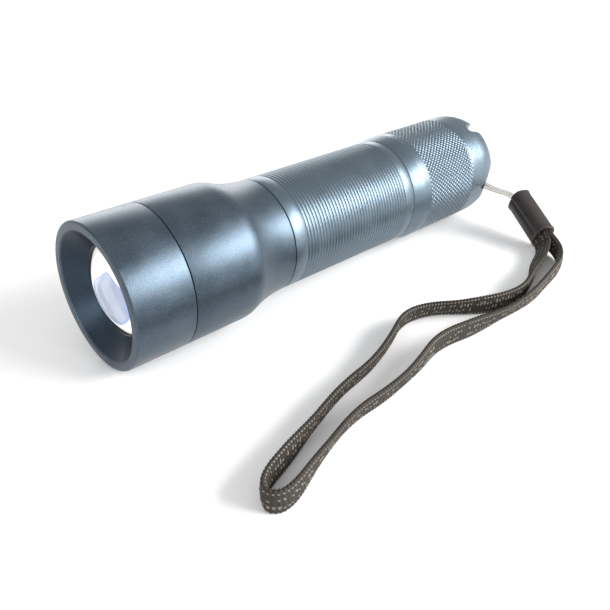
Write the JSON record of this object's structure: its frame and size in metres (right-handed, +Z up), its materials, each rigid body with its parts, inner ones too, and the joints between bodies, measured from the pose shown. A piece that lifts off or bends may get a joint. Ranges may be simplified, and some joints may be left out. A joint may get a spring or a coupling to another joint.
{
  "type": "focusing tactical flashlight",
  "caption": "Pocket flashlight with a sliding focus head, convex lens, knurled screw-on tail cap, rubber push button, battery cartridge and a wrist strap.",
  "frame": {"origin": "on the table under the middle of the torch, measured without the lanyard", "axes": "+X from the lens towards the tail button, +Y away from the side the strap lies on, +Z up from the table"},
  "size_m": [0.1225, 0.0722, 0.0326],
  "materials": {
    "anodised_blue": "satin anodised",
    "bare_aluminium": "turned",
    "black_plastic": "matte",
    "spring_steel": "plain",
    "black_rubber": "matte",
    "clear_lens": "polished",
    "white_board": "solder mask",
    "white_ceramic": "plain",
    "yellow_dome": "clear over phosphor",
    "white_plastic": "matte",
    "steel": "zinc plated",
    "red_wire": "insulation",
    "green_board": "solder mask",
    "dark_ferrite": "sintered",
    "tan_ceramic": "plain",
    "brass": "turned",
    "gold_spring": "gold plated",
    "cell_sleeve": "printed sleeve, left plain",
    "nickel": "nickel plated",
    "clear_nylon": "translucent nylon",
    "dark_plastic": "satin",
    "grey_webbing": "woven"
  },
  "bodies": {
    "barrel": {"barrel_tube": "anodised_blue", "neck_tube": "bare_aluminium", "stop_ring": "spring_steel", "led_board": "white_board", "led_package": "white_ceramic", "led_dome": "yellow_dome", "led_retainer": "white_plastic", "board_screws": "steel", "wire_red": "red_wire", "wire_black": "black_plastic", "driver_board": "green_board", "driver_chip": "black_plastic", "driver_coil": "dark_ferrite", "driver_capacitors": "tan_ceramic", "driver_retainer": "brass", "driver_spring": "gold_spring", "cell_1": "cell_sleeve", "cell_2": "cell_sleeve", "cell_3": "cell_sleeve", "cartridge_front": "black_plastic", "cartridge_rear": "black_plastic", "cartridge_frame": "black_plastic", "cartridge_contacts": "nickel", "cartridge_springs": "nickel", "front_terminal": "nickel", "rear_terminal": "nickel"},
    "head_seal": {"slide_o_ring": "black_rubber"},
    "head": {"bezel_ring": "anodised_blue", "lens_gasket": "black_rubber", "lens": "clear_lens", "lens_retainer": "black_plastic", "head_shell": "anodised_blue"},
    "tail_seal": {"tail_o_ring": "black_rubber"},
    "cap": {"tail_cap": "anodised_blue", "switch_retainer": "brass", "switch_board": "green_board", "tail_spring": "gold_spring", "switch_housing": "black_plastic", "lanyard_string": "clear_nylon", "lanyard_ferrule": "dark_plastic", "wrist_strap": "grey_webbing"},
    "button": {"switch_boot": "black_rubber", "switch_plunger": "white_plastic", "plunger_spring": "spring_steel"}
  },
  "joints": [
    {"name": "head_turn", "type": "hinge", "parent": "barrel", "child": "head_seal", "pos_m": [-0.05885, 0, 0.01664], "axis": [-0.9997, 0, 0.0226], "continuous": true},
    {"name": "head_zoom", "type": "slide", "parent": "head_seal", "child": "head", "axis": [-0.9997, 0, 0.0226], "range_m": [0, 0.007]},
    {"name": "tail_cap_turn", "type": "hinge", "parent": "barrel", "child": "tail_seal", "pos_m": [-0.05885, 0, 0.01664], "axis": [0.9997, 0, -0.0226], "range_deg": [0, 1800]},
    {"name": "tail_cap_travel", "type": "slide", "parent": "tail_seal", "child": "cap", "axis": [0.9997, 0, -0.0226], "range_m": [0, 0.0075]},
    {"name": "button_press", "type": "slide", "parent": "cap", "child": "button", "axis": [-0.9997, 0, 0.0226], "range_m": [0, 0.0014], "stiffness_N_per_m": 800}
  ],
  "couplings": [
    {"joint": "tail_cap_travel", "follows": "tail_cap_turn", "m_per_rad": 0.00023873}
  ]
}
